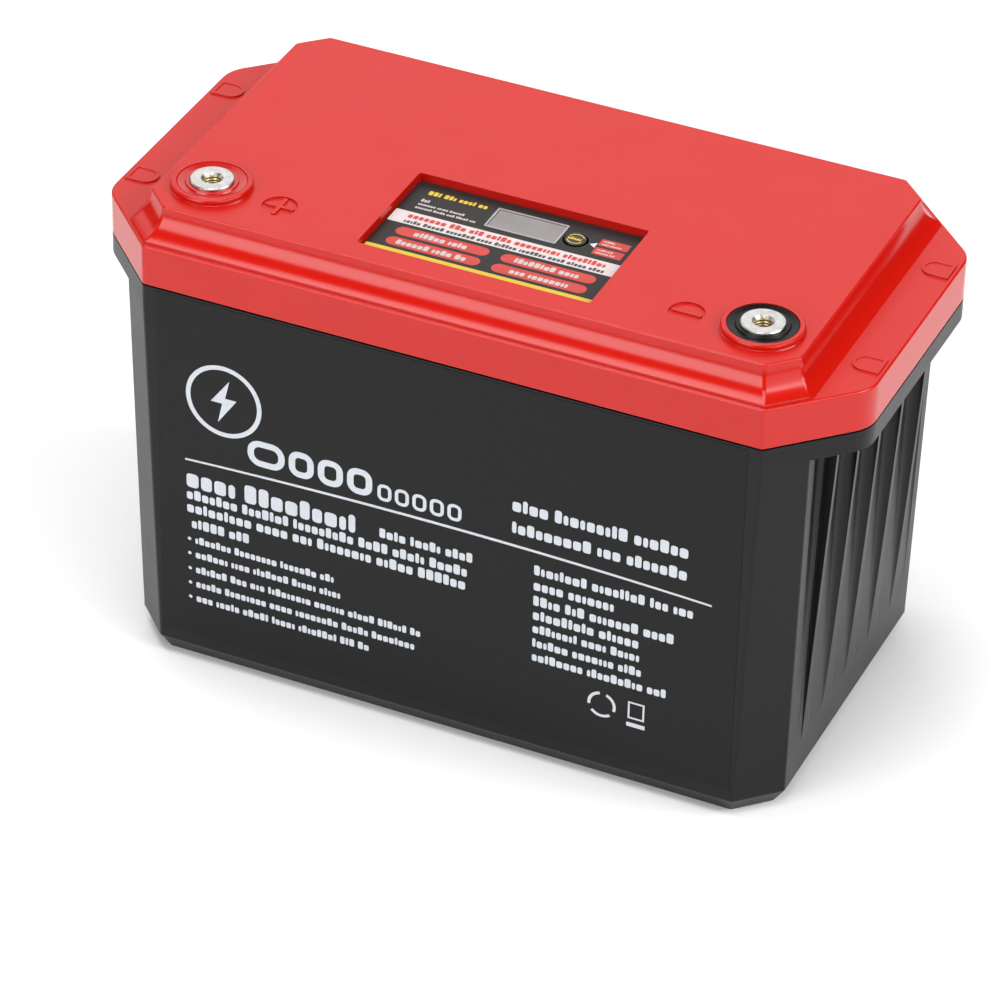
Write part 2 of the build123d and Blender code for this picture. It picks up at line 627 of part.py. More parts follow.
def pack_wiring():
    """Busbars, post bolts, lugs and the three heavy cables."""
    keep("busbar_1", busbar(cell_x(0), cell_x(1), POST_Y))
    keep("busbar_2", busbar(cell_x(1), cell_x(2), -POST_Y))
    keep("busbar_3", busbar(cell_x(2), cell_x(3), POST_Y))
    bolts = []
    for i in range(CELL_COUNT):
        for y in (-POST_Y, POST_Y):
            bolts.append(bolt(cell_x(i), y, 5.5, BUSBAR_TOP_Z, 4.0, 2.5, CELL_TOP_Z + 0.5))
    keep("post_bolts", Compound(children=bolts))
    keep("post_lugs", Compound(children=[post_lug(cell_x(0)), post_lug(cell_x(3))]))
    lugs = []
    lug_bolts = []
    for sx in (-1, 1):
        x = sx * TERMINAL_X
        lugs.append(terminal_lug(x))
        under = Pos(x, TERMINAL_Y, LUG_FACE_Z - 2.5) * Rot(180, 0, 0)
        lug_bolts.append(under * bolt(0, 0, 5.5, 0.0, 4.0, 2.4, -8.5))
    keep("terminal_lugs", Compound(children=lugs))
    keep("lug_bolts", Compound(children=lug_bolts))
    barrel_y = -POST_Y - 12.5
    start_z = POST_TOP_Z + 5.0
    barrel_z = LUG_FACE_Z - 5.0
    end_y = TERMINAL_Y + 14.0
    positive_route = [
        (cell_x(0), barrel_y, start_z),
        (cell_x(0), barrel_y, 166.0),
        (cell_x(0) - 8, -20.0, barrel_z),
        (-TERMINAL_X, 4.0, barrel_z),
        (-TERMINAL_X, end_y, barrel_z),
    ]
    keep("cable_positive", tube(positive_route, [14, 14, 14], CABLE_R))
    pack_negative_route = [
        (cell_x(3), barrel_y, start_z),
        (cell_x(3), barrel_y, 172.0),
        (60.0, -44.0, 172.0),
        (60.0, -8.0, 172.0),
        (60.0, -8.0, BMS_Z + BOARD_THICKNESS + 3.0),
    ]
    keep("cable_pack_negative", tube(pack_negative_route, [12, 14, 10], CABLE_R))
    output_route = [
        (TERMINAL_X, end_y, barrel_z),
        (TERMINAL_X, -2.0, barrel_z),
        (96.0, 14.0, barrel_z),
        (66.0, 14.0, barrel_z),
        (66.0, 14.0, BMS_Z + BOARD_THICKNESS + 3.0),
    ]
    keep("cable_output_negative", tube(output_route, [14, 12, 10], CABLE_R))


# ---------------------------------------------------------------- battery management system

def management_parts():
    """Tray, board, transistors, heatsink, shunt, pads, standoffs and screws."""
    half_tray = PACK_HALF_X + END_PLATE
    tray = block(-half_tray, half_tray, -34.0, 76.0, TRAY_Z, TRAY_Z + TRAY_THICKNESS)
    board_top = BMS_Z + BOARD_THICKNESS
    board = Pos(BMS_X, BMS_Y, 0) * prism(Rectangle(BMS_LENGTH, BMS_WIDTH), BMS_Z, board_top)
    standoffs = []
    screws = []
    for sx in (-1, 1):
        for sy in (-1, 1):
            x = BMS_X + sx * (BMS_LENGTH / 2 - 5)
            y = BMS_Y + sy * (BMS_WIDTH / 2 - 5)
            post = rod(x, y, 3.0, TRAY_Z + TRAY_THICKNESS, BMS_Z)
            standoffs.append(post - rod(x, y, 1.5, TRAY_Z + TRAY_THICKNESS, BMS_Z))
            board -= rod(x, y, 1.6, BMS_Z - 1, board_top + 1)
            screws.append(bolt(x, y, 2.8, board_top, 2.0, 1.4, TRAY_Z + TRAY_THICKNESS + 1, False))
    keep("bms_tray", tray)
    keep("bms_board", board)
    keep("bms_standoffs", Compound(children=standoffs))
    keep("bms_screws", Compound(children=screws))
    transistors = []
    row_y = BMS_Y + 24.0
    package_top = board_top + 4.4
    for i in range(10):
        x = BMS_X + (i - 4.5) * 12.5
        transistors.append(block(x - 5, x + 5, row_y - 4.5, row_y + 4.5, board_top, package_top))
    keep("bms_transistors", Compound(children=transistors))
    pad_top = package_top + 0.6
    keep("bms_thermal_pad", block(-64, 64, row_y - 6, row_y + 6, package_top, pad_top))
    sink = block(-66, 66, row_y - 12, row_y + 12, pad_top, pad_top + 3)
    for i in range(7):
        y = row_y - 11 + i * 22 / 6
        sink += block(-66, 66, y - 0.8, y + 0.8, pad_top + 3, pad_top + 14)
    keep("bms_heatsink", sink)
    keep("bms_shunt", block(28, 50, 4, 12, board_top, board_top + 2.0))
    pads = []
    for x, y in ((60.0, -8.0), (66.0, 14.0)):
        pad = rod(x, y, 5.5, board_top, board_top + 6) - rod(x, y, CABLE_R, board_top + 3, board_top + 7)
        pads.append(pad)
    keep("bms_cable_pads", Compound(children=pads))
    keep("bms_connector", block(-14, 14, -18, -11, board_top, board_top + 8))
    keep("display_connector", block(-46, -36, -18, -11, board_top, board_top + 6))
    keep("bms_controller", block(-30, -14, 4, 20, board_top, board_top + 1.6))


def harness():
    """Sense wires from the posts to the board, the display cable and the temperature sensor."""
    wire_z = BUSBAR_TOP_Z + 6.6
    connector_z = BMS_Z + BOARD_THICKNESS + 4.0
    sources = [
        (cell_x(0), -POST_Y + 8),
        ((cell_x(0) + cell_x(1)) / 2, POST_Y),
        (0.0, -POST_Y + 6),
        ((cell_x(2) + cell_x(3)) / 2, POST_Y),
        (cell_x(3), -POST_Y + 8),
    ]
    wires = []
    for i, (x, y) in enumerate(sources):
        target_x = (i - 2) * 5.0
        route = [(x, y, BUSBAR_TOP_Z), (x, y, wire_z), (x, -38.0, wire_z)]
        route += [(x, -38.0, connector_z), (target_x, -28.0, connector_z), (target_x, -18.0, connector_z)]
        if abs(target_x - x) < 0.5:
            route = route[:4] + [(target_x, -18.0, connector_z)]
        radii = [2.5] * (len(route) - 2)
        wires.append(tube(route, radii, WIRE_R))
    keep("sense_harness", Compound(children=wires))
    display_route = [
        (-41.0, RECESS_Y, DISPLAY_BOARD_Z),
        (-41.0, RECESS_Y, 174.0),
        (-41.0, -14.5, 174.0),
        (-41.0, -14.5, BMS_Z + BOARD_THICKNESS + 6.0),
    ]
    keep("display_cable", tube(display_route, [8, 8], 1.6))
    sensor_z = CELL_TOP_Z
    keep("temperature_sensor", block(cell_x(1) - 4, cell_x(1) + 4, 20, 30, sensor_z, sensor_z + 2.5))


# ---------------------------------------------------------------- assembly

def build():
    """Make every piece."""
    case = container()
    keep("container", case)
    keep("front_label", front_label(case))
    keep("lid", lid())
    keep("lid_seal", lid_seal())
    keep("terminal_positive", terminal_insert(-TERMINAL_X))
    keep("terminal_negative", terminal_insert(TERMINAL_X))
    keep("seal_ring_positive", seal_ring(-TERMINAL_X))
    keep("seal_ring_negative", seal_ring(TERMINAL_X))
    keep("display_label", display_label())
    keep("lcd_bezel", lcd_bezel())
    display_parts()
    cell_parts()
    pack_wiring()
    management_parts()
    harness()


build()
os.makedirs("parts", exist_ok=True)
for node, shape in NODES.items():
    export_step(shape, f"parts/{node}.step")
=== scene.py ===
"""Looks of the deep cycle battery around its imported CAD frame. Metres, same axes as the frame."""

import math
import random

import bmesh
import bpy
from mathutils import Euler, Matrix, Vector


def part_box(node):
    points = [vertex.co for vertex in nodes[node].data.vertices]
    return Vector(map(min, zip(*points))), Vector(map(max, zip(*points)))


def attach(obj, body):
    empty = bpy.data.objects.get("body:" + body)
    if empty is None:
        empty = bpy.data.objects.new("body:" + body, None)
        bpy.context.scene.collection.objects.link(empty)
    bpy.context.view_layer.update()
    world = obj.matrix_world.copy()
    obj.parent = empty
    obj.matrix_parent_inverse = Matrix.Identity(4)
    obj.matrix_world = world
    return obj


MM = 0.001

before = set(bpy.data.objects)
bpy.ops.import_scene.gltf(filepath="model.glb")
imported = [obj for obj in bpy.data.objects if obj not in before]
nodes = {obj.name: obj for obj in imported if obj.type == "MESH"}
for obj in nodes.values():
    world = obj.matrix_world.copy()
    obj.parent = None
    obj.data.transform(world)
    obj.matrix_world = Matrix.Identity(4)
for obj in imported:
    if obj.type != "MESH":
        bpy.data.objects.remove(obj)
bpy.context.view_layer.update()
scene = bpy.context.scene


# ---------------------------------------------------------------- shared helpers

def link(obj):
    """Put a new object in the scene."""
    scene.collection.objects.link(obj)
    return obj


def new_object(name, mesh, material, body="battery"):
    """Wrap a mesh, give it a material and let it ride on a CAD body."""
    obj = link(bpy.data.objects.new(name, mesh))
    obj.data.materials.append(material)
    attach(obj, body)
    return obj


def mesh_from_bmesh(name, bm, smooth=False):
    """Turn a bmesh into a mesh."""
    bmesh.ops.recalc_face_normals(bm, faces=bm.faces)
    mesh = bpy.data.meshes.new(name)
    bm.to_mesh(mesh)
    bm.free()
    for polygon in mesh.polygons:
        polygon.use_smooth = smooth
    return mesh


# ---------------------------------------------------------------- material helpers

class Nodes:
    """A short way to build one node material."""

    def __init__(self, name):
        self.material = bpy.data.materials.new(name)
        self.material.use_nodes = True
        self.tree = self.material.node_tree
        self.shader = self.tree.nodes["Principled BSDF"]
        surface = self.tree.nodes.new("ShaderNodeTexCoord")
        self.coordinates = surface.outputs["Object"]
        self.normal = surface.outputs["Normal"]

    def set(self, **values):
        """Set sockets of the Principled shader by name, with underscores for spaces."""
        for key, value in values.items():
            self.shader.inputs[key.replace("_", " ")].default_value = value

    def plug(self, output, name):
        """Connect an output to a socket of the Principled shader."""
        self.tree.links.new(output, self.shader.inputs[name])

    def noise(self, scale, detail=3.0, roughness=0.5, stretch=(1, 1, 1)):
        """Noise in object space, stretched along the axes if asked."""
        mapping = self.tree.nodes.new("ShaderNodeMapping")
        mapping.inputs["Scale"].default_value = stretch
        self.tree.links.new(self.coordinates, mapping.inputs["Vector"])
        texture = self.tree.nodes.new("ShaderNodeTexNoise")
        texture.inputs["Scale"].default_value = scale
        texture.inputs["Detail"].default_value = detail
        texture.inputs["Roughness"].default_value = roughness
        self.tree.links.new(mapping.outputs["Vector"], texture.inputs["Vector"])
        return texture.outputs["Fac"]

    def remap(self, value, low, high, to_low=0.0, to_high=1.0):
        """Linear remap of a value, clamped."""
        node = self.tree.nodes.new("ShaderNodeMapRange")
        node.inputs["From Min"].default_value = low
        node.inputs["From Max"].default_value = high
        node.inputs["To Min"].default_value = to_low
        node.inputs["To Max"].default_value = to_high
        self.tree.links.new(value, node.inputs["Value"])
        return node.outputs["Result"]

    def mix(self, factor, first, second):
        """Mix two colours by a factor output."""
        node = self.tree.nodes.new("ShaderNodeMix")
        node.data_type = "RGBA"
        self.tree.links.new(factor, node.inputs["Factor"])
        for socket, colour in ((node.inputs[6], first), (node.inputs[7], second)):
            if isinstance(colour, tuple):
                socket.default_value = (*colour, 1.0)
            else:
                self.tree.links.new(colour, socket)
        return node.outputs[2]

    def math(self, operation, first, second=None):
        """One Math node; inputs are outputs or numbers."""
        node = self.tree.nodes.new("ShaderNodeMath")
        node.operation = operation
        for i, value in enumerate((first, second)):
            if value is None:
                continue
            if isinstance(value, (int, float)):
                node.inputs[i].default_value = value
            else:
                self.tree.links.new(value, node.inputs[i])
        return node.outputs[0]

    def bump(self, height, strength, distance, normal=None):
        """Bump from a height output; returns the normal."""
        node = self.tree.nodes.new("ShaderNodeBump")
        node.inputs["Strength"].default_value = strength
        node.inputs["Distance"].default_value = distance
        self.tree.links.new(height, node.inputs["Height"])
        if normal is not None:
            self.tree.links.new(normal, node.inputs["Normal"])
        return node.outputs["Normal"]

    def soft_edges(self, radius):
        """Shade sharp edges as if they were rounded by radius."""
        node = self.tree.nodes.new("ShaderNodeBevel")
        node.samples = 4
        node.inputs["Radius"].default_value = radius
        return node.outputs["Normal"]

    def separate(self, vector):
        """X, Y and Z of a vector output."""
        node = self.tree.nodes.new("ShaderNodeSeparateXYZ")
        self.tree.links.new(vector, node.inputs[0])
        return node.outputs


def moulded_plastic(name, colour, variation, roughness, grain=900.0, grain_depth=0.02 * MM, edge=0.2 * MM,
                    gleam=0.5, matte_top=None):
    """Moulded plastic: slight mottling, uneven gloss and fine grain, with softened edges.

    With matte_top, level faces are grained and have that roughness, and the rest stays glossy.
    """
    mat = Nodes(name)
    mottle = mat.remap(mat.noise(18.0, 2.0), 0.2, 0.8)
    darker = tuple(c * (1 - variation) for c in colour)
    mat.plug(mat.mix(mottle, darker, colour), "Base Color")
    mat.set(Specular_IOR_Level=gleam)
    gloss = mat.remap(mat.noise(60.0, 2.0), 0.2, 0.8, roughness - 0.02, roughness + 0.02)
    height = mat.noise(grain, 2.0)
    if matte_top is not None:
        level = mat.remap(mat.separate(mat.normal)[2], 0.97, 0.995)
        gloss = mat.math("ADD", gloss, mat.math("MULTIPLY", level, matte_top - roughness))
        height = mat.math("MULTIPLY", height, level)
    mat.plug(gloss, "Roughness")
    normal = mat.soft_edges(edge)
    mat.plug(mat.bump(height, 0.25, grain_depth, normal), "Normal")
    return mat


def printed(name, colour, roughness=0.45):
    """Ink or film: flat colour with a faint uneven density and gloss."""
    mat = Nodes(name)
    density = mat.remap(mat.noise(420.0, 3.0), 0.3, 0.7)
    thin = tuple(c * 0.93 for c in colour)
    mat.plug(mat.mix(density, thin, colour), "Base Color")
    mat.plug(mat.remap(mat.noise(200.0, 3.0), 0.3, 0.7, roughness - 0.06, roughness + 0.06), "Roughness")
    return mat


def metal(name, colour, roughness, stretch=(1, 1, 1)):
    """Bare or plated metal with fine scratches."""
    mat = Nodes(name)
    tone = mat.remap(mat.noise(300.0, 4.0, 0.6, stretch), 0.3, 0.7)
    mat.plug(mat.mix(tone, tuple(c * 0.86 for c in colour), colour), "Base Color")
    mat.set(Metallic=1.0)
    wear = mat.noise(500.0, 4.0, 0.6, stretch)
    mat.plug(mat.remap(wear, 0.3, 0.7, roughness - 0.08, roughness + 0.1), "Roughness")
    mat.plug(mat.bump(mat.noise(1500.0, 3.0, 0.6, stretch), 0.15, 0.02 * MM), "Normal")
    return mat


def give(material, *names):
    """Assign a material to CAD nodes."""
    for name in names:
        obj = nodes[name]
        obj.data.materials.clear()
        obj.data.materials.append(material)


def smooth_cad(name, angle=32.0):
    """Shade a CAD node smooth except across sharp edges."""
    obj = nodes[name]
    for polygon in obj.data.polygons:
        polygon.use_smooth = True
    obj.data.set_sharp_from_angle(angle=math.radians(angle))
    weighted = obj.modifiers.new("weighted", "WEIGHTED_NORMAL")
    weighted.keep_sharp = True


# ---------------------------------------------------------------- materials

case_black = moulded_plastic("case_black", (0.0040, 0.0037, 0.0040), 0.12, 0.34, gleam=0.25)
lid_red = moulded_plastic("lid_red", (0.50, 0.005, 0.001), 0.04, 0.20, gleam=0.44, matte_top=0.42)
seam_black = moulded_plastic("seam_black", (0.006, 0.006, 0.006), 0.1, 0.6, edge=0.1 * MM)
rubber_black = moulded_plastic("rubber_black", (0.004, 0.004, 0.004), 0.25, 0.28, edge=0.15 * MM, gleam=0.16)
seal_red = moulded_plastic("seal_red", (0.45, 0.002, 0.001), 0.06, 0.20, edge=0.15 * MM)
label_grey = moulded_plastic(
    "label_grey", (0.016, 0.013, 0.013), 0.06, 0.42, grain=2200.0, edge=0.05 * MM, gleam=0.22)
film_black = moulded_plastic(
    "film_black", (0.0035, 0.0030, 0.0032), 0.08, 0.28, grain=1500.0, edge=0.05 * MM, gleam=0.22)
button_grey = moulded_plastic("button_grey", (0.018, 0.015, 0.015), 0.08, 0.36, edge=0.1 * MM, gleam=0.4)
ink_white = printed("ink_white", (0.56, 0.59, 0.64))
ink_band = printed("ink_band", (0.62, 0.54, 0.54))
ink_red = printed("ink_red", (0.50, 0.030, 0.020))
ink_yellow = printed("ink_yellow", (0.62, 0.44, 0.015))
ink_grey = printed("ink_grey", (0.04, 0.035, 0.035))
ink_pale = printed("ink_pale", (0.50, 0.44, 0.43))
brass = metal("brass", (0.64, 0.55, 0.34), 0.3)
silver = metal("silver", (0.80, 0.80, 0.80), 0.3)
bezel_grey = metal("bezel_grey", (0.45, 0.45, 0.45), 0.4)
steel = metal("steel", (0.56, 0.56, 0.58), 0.3)
aluminium = metal("aluminium", (0.76, 0.77, 0.78), 0.35, (1, 8, 1))
copper = metal("copper", (0.80, 0.42, 0.28), 0.3)
cell_film = moulded_plastic("cell_film", (0.02, 0.08, 0.42), 0.1, 0.3)
board_green = moulded_plastic("board_green", (0.01, 0.12, 0.05), 0.15, 0.35)
sheet_green = moulded_plastic("sheet_green", (0.22, 0.38, 0.20), 0.1, 0.5)
chip_black = moulded_plastic("chip_black", (0.012, 0.012, 0.014), 0.1, 0.5)
connector_white = moulded_plastic("connector_white", (0.75, 0.74, 0.68), 0.05, 0.45)
foam_black = moulded_plastic("foam_black", (0.015, 0.015, 0.016), 0.4, 0.9, grain=400.0, grain_depth=0.4 * MM)
cable_red = moulded_plastic("cable_red", (0.55, 0.02, 0.015), 0.1, 0.4)
cable_black = moulded_plastic("cable_black", (0.012, 0.012, 0.012), 0.1, 0.4)
wire_white = moulded_plastic("wire_white", (0.75, 0.74, 0.70), 0.05, 0.4)
thermal_pad = moulded_plastic("thermal_pad", (0.35, 0.42, 0.55), 0.1, 0.8)


def terminal_material(name, node):
    """Tin-plated terminal whose bore is bare brass, with fine rings turned on its face."""
    bare_radius = 3.6 * MM
    rings_per_metre = 26000.0
    low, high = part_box(node)
    mat = Nodes(name)
    x, y = mat.separate(mat.coordinates)[0:2]
    off_x = mat.math("SUBTRACT", x, (low.x + high.x) / 2)
    off_y = mat.math("SUBTRACT", y, (low.y + high.y) / 2)
    square = mat.math("ADD", mat.math("MULTIPLY", off_x, off_x), mat.math("MULTIPLY", off_y, off_y))
    radius = mat.math("SQRT", square)
    inside = mat.math("LESS_THAN", radius, bare_radius)
    tone = mat.remap(mat.noise(350.0, 4.0, 0.6), 0.3, 0.7)
    tin = mat.mix(tone, (0.50, 0.49, 0.47), (0.62, 0.61, 0.59))
    bare = mat.mix(tone, (0.50, 0.42, 0.24), (0.68, 0.58, 0.36))
    mat.plug(mat.mix(inside, tin, bare), "Base Color")
    mat.set(Metallic=1.0)
    mat.plug(mat.remap(mat.noise(600.0, 4.0), 0.3, 0.7, 0.22, 0.42), "Roughness")
    rings = mat.math("SINE", mat.math("MULTIPLY", radius, rings_per_metre))
    turned = mat.bump(rings, 0.12, 0.01 * MM, mat.soft_edges(0.2 * MM))
    mat.plug(mat.bump(mat.noise(1800.0, 2.0), 0.05, 0.01 * MM, turned), "Normal")
    return mat


def lcd_material():
    """Unlit display: pale warm grey, slightly cloudy."""
    mat = Nodes("lcd_pale")
    cloud = mat.remap(mat.noise(40.0, 3.0), 0.3, 0.7)
    mat.plug(mat.mix(cloud, (0.185, 0.165, 0.165), (0.245, 0.22, 0.22)), "Base Color")
    mat.set(Roughness=0.3)
    return mat


give(case_black.material, "container")
give(lid_red.material, "lid")
give(seam_black.material, "lid_seal")
give(rubber_black.material, "seal_ring_negative")
give(seal_red.material, "seal_ring_positive")
give(terminal_material("terminal_positive_metal", "terminal_positive").material, "terminal_positive")
give(terminal_material("terminal_negative_metal", "terminal_negative").material, "terminal_negative")
give(label_grey.material, "display_label")
give(film_black.material, "front_label")
give(button_grey.material, "push_button")
give(lcd_material().material, "lcd_glass")
give(bezel_grey.material, "lcd_bezel")
give(silver.material, "lcd_module")
give(chip_black.material, "switch_body", "switch_plunger", "bms_transistors", "bms_controller",
     "temperature_sensor")
give(board_green.material, "display_board", "bms_board")
give(steel.material, "display_screws", "post_bolts", "lug_bolts", "bms_standoffs", "bms_screws",
     "pack_straps")
give(cell_film.material, "cell_1", "cell_2", "cell_3", "cell_4")
give(aluminium.material, "cell_posts_positive", "cell_posts_negative", "cell_vents", "end_plate_left",
     "end_plate_right", "bms_heatsink")
give(copper.material, "busbar_1", "busbar_2", "busbar_3", "post_lugs", "terminal_lugs", "bms_shunt",
     "bms_cable_pads")
give(sheet_green.material, "cell_sheets", "bms_tray")
give(foam_black.material, "base_pad", "end_foam_left", "end_foam_right")
give(cable_red.material, "cable_positive")
give(cable_black.material, "cable_pack_negative", "cable_output_negative", "display_cable")
give(wire_white.material, "sense_harness")
give(connector_white.material, "bms_connector", "display_connector")
give(thermal_pad.material, "bms_thermal_pad")
for node_name in nodes:
    smooth_cad(node_name)


# ---------------------------------------------------------------- flat print

INK = 0.03 * MM            # how far print stands off its film


def bar(x_low, x_high, y_low, y_high, radius=None, corner_steps=6):
    """Outline of a bar with rounded corners."""
    height = y_high - y_low
    radius = height / 2 if radius is None else radius
    radius = min(radius, height / 2, (x_high - x_low) / 2)
    points = []
    corners = (
        (x_high - radius, y_low + radius, -90),
        (x_high - radius, y_high - radius, 0),
        (x_low + radius, y_high - radius, 90),
        (x_low + radius, y_low + radius, 180),
    )
    for cx, cy, start in corners:
        for i in range(corner_steps + 1):
            angle = math.radians(start + i * 90 / corner_steps)
            points.append((cx + radius * math.cos(angle), cy + radius * math.sin(angle)))
    return points


def arc_band(cx, cy, radius, thickness, start, end, steps=32):
    """Outline of a band along an arc, in degrees."""
    small = radius - thickness
    outer = []
    inner = []
    for i in range(steps + 1):
        angle = math.radians(start + (end - start) * i / steps)
        outer.append((cx + radius * math.cos(angle), cy + radius * math.sin(angle)))
        inner.append((cx + small * math.cos(angle), cy + small * math.sin(angle)))
    return outer + inner[::-1]


def words(x_low, x_high, y_low, y_high, seed):
    """A line of plain upright blocks, grouped and spaced like words of print."""
    chance = random.Random(seed)
    height = y_high - y_low
    outlines = []
    x = x_low
    while x < x_high - height * 1.6:
        for _ in range(chance.randint(3, 9)):
            width = height * chance.choice((0.34, 0.5, 0.56, 0.6, 0.62))
            if x + width > x_high:
                break
            top = y_high if chance.random() < 0.3 else y_low + 0.76 * height
            outlines.append(bar(x, x + width, y_low, top, 0.16 * height, 2))
            x += width + height * 0.13
        x += height * 0.36
    return outlines


def signed_area(outline):
    """Area of an outline, negative if it runs clockwise."""
    total = 0.0
    for (x0, y0), (x1, y1) in zip(outline, outline[1:] + outline[:1]):
        total += x0 * y1 - x1 * y0
    return total / 2


def print_on(name, outlines, to_space, material, lift=INK, body="battery"):
    """Thin raised print from outlines in millimetres; to_space places a point of the sheet."""
    bm = bmesh.new()
    for outline in outlines:
        if signed_area(outline) < 0:
            outline = outline[::-1]
        base = [bm.verts.new(to_space(x, y, 0.0)) for x, y in outline]
        top = [bm.verts.new(to_space(x, y, lift)) for x, y in outline]
        bm.faces.new(top)
        for i in range(len(outline)):
            j = (i + 1) % len(outline)
            bm.faces.new((base[i], base[j], top[j], top[i]))
    bmesh.ops.triangulate(bm, faces=[f for f in bm.faces if len(f.verts) > 4])
    mesh = mesh_from_bmesh(name, bm)
    obj = new_object(name, mesh, material.material, body)
    return obj


# Front print. The film follows the drafted front wall up to the collar.
COLLAR_Z = 171.2 * MM
film_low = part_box("front_label")[0]
film_vertices = [v.co for v in nodes["front_label"].data.vertices]
bottom_y = min(v.y for v in film_vertices if v.z < film_low.z + 0.5 * MM)
draft = (film_low.y - bottom_y) / (COLLAR_Z - film_low.z)


def on_front(x, z, lift):
    """Place a point of the front print."""
    height = z * MM
    return Vector((x * MM, bottom_y + draft * (height - film_low.z) - lift, height))


def bow(x_low, x_high, middle_z, end_z, thickness, steps=40):
    """Long shallow arch, thinner at its ends."""
    middle = (x_low + x_high) / 2
    half = (x_high - x_low) / 2
    upper = []
    lower = []
    for i in range(steps + 1):
        x = x_low + (x_high - x_low) * i / steps
        along = ((x - middle) / half) ** 2
        z = middle_z - (middle_z - end_z) * along
        t = thickness * (1 - 0.25 * along) / 2
        upper.append((x, z + t))
        lower.append((x, z - t))
    return lower + upper[::-1]


def emblem(cx, cz, radius):
    """Plain ring with a lightning flash."""
    flash = [
        (0.16, 0.62), (-0.34, -0.06), (-0.04, -0.06), (-0.16, -0.62), (0.34, 0.10), (0.04, 0.10),
    ]
    ring_low = arc_band(cx, cz, radius, radius * 0.12, 20, 200)
    ring_high = arc_band(cx, cz, radius, radius * 0.12, 200, 380)
    return [ring_low, ring_high, [(cx + u * radius, cz + v * radius) for u, v in flash]]


def ring_block(x_low, x_high, y_low, y_high, line):
    """Upright rounded block with an open middle, as two strokes that meet."""
    middle = (x_low + x_high) / 2
    radius = min((x_high - x_low) * 0.42, (y_high - y_low) * 0.46)
    steps = 6
    halves = []
    for side in (-1, 1):
        outer = []
        inner = []
        for sy, start in ((1, 90), (-1, 0)):
            edge_y = y_high if sy > 0 else y_low
            for i in range(steps + 1):
                angle = math.radians(start - 90 * i / steps)
                cos, sin = math.cos(angle), math.sin(angle)
                corner_x = x_high - radius
                corner_y = edge_y - sy * radius
                outer.append((corner_x + radius * cos, corner_y + radius * sin))
                small = radius - line
                inner.append((corner_x + small * cos, corner_y + small * sin))
        outer = [(middle, y_high)] + outer + [(middle, y_low)]
        inner = [(middle, y_high - line)] + inner + [(middle, y_low + line)]
        if side < 0:
            outer = [(2 * middle - x, y) for x, y in outer]
            inner = [(2 * middle - x, y) for x, y in inner]
        halves.append(outer + inner[::-1])
    return halves


def front_print():
    """All of the white print on the front: emblem, name, rule, headings, lists and two signs."""
    left = -115.0
    name_z = 107.8
    gap = 1.8
    outlines = emblem(-97.5, 134.5, 17.0)
    x = -87.0
    for width in (18.5, 13.0, 13.0, 13.0):
        outlines += ring_block(x, x + width - gap, name_z, 120.2, 2.9)
        x += width
    for _ in range(5):
        outlines += ring_block(x + 0.5, x + 6.7, name_z, 115.8, 1.5)
        x += 7.7
    outlines.append(bow(-115.5, 116.0, 104.2, 101.4, 1.2))
    headings = (
        (30.0, 115.0, 120.6, 126.6), (30.0, 115.0, 110.0, 115.6), (left, -30.0, 88.0, 96.8),
        (-28.0, 14.0, 89.6, 94.2), (left, 14.0, 82.0, 86.8), (left, 14.0, 75.4, 80.4),
        (-113.0, -85.0, 67.8, 72.4),
    )
    for seed, (start, end, z_low, z_high) in enumerate(headings, 1):
        outlines += words(start, end, z_low, z_high, seed)
    bullet_lines = ((62.0, -48.0), (54.8, -43.5), (47.2, -8.0), (39.9, -10.0), (32.6, -31.0))
    for i, (z, end) in enumerate(bullet_lines):
        outlines.append(bar(left, left + 1.6, z - 0.8, z + 0.8))
        outlines += words(-111.5, end, z - 1.8, z + 1.8, 10 + i)
    right_lines = (
        (95.0, 116.0, 4.8), (87.5, 82.5, 4.8), (80.0, 103.0, 4.8), (73.0, 87.5, 4.8),
        (66.2, 88.0, 4.2), (59.2, 93.0, 4.2), (52.2, 101.0, 4.2),
    )
    for i, (z, end, height) in enumerate(right_lines):
        outlines += words(40.0, end, z - height / 2, z + height / 2, 20 + i)
    for i in range(3):
        outlines.append(arc_band(71.0, 38.0, 6.2, 1.3, 100 + 120 * i, 190 + 120 * i))
    outlines.append(bar(82.0, 90.0, 31.2, 33.2, 0.3))
    outlines += square_ring(82.4, 89.6, 35.2, 43.6, 0.8)
    return outlines


def square_ring(x_low, x_high, y_low, y_high, line):
    """Four strokes of a plain square."""
    return [
        bar(x_low, x_high, y_low, y_low + line, 0.1),
        bar(x_low, x_high, y_high - line, y_high, 0.1),
        bar(x_low, x_low + line, y_low + line, y_high - line, 0.1),
        bar(x_high - line, x_high, y_low + line, y_high - line, 0.1),
    ]


print_on("front_print", front_print(), on_front, ink_white)


# Display label print
label_low, label_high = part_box("display_label")
button_low, button_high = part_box("push_button")
button_x = (button_low.x + button_high.x) / 2 / MM
button_y = (button_low.y + button_high.y) / 2 / MM


def on_label(x, y, lift):
    """Place a point of the display label's print."""
    return Vector((x * MM, y * MM, label_high.z + lift))


def on_button(x, y, lift):
    """Place a point of the button's print."""
    return Vector((x * MM, y * MM, button_high.z + lift))


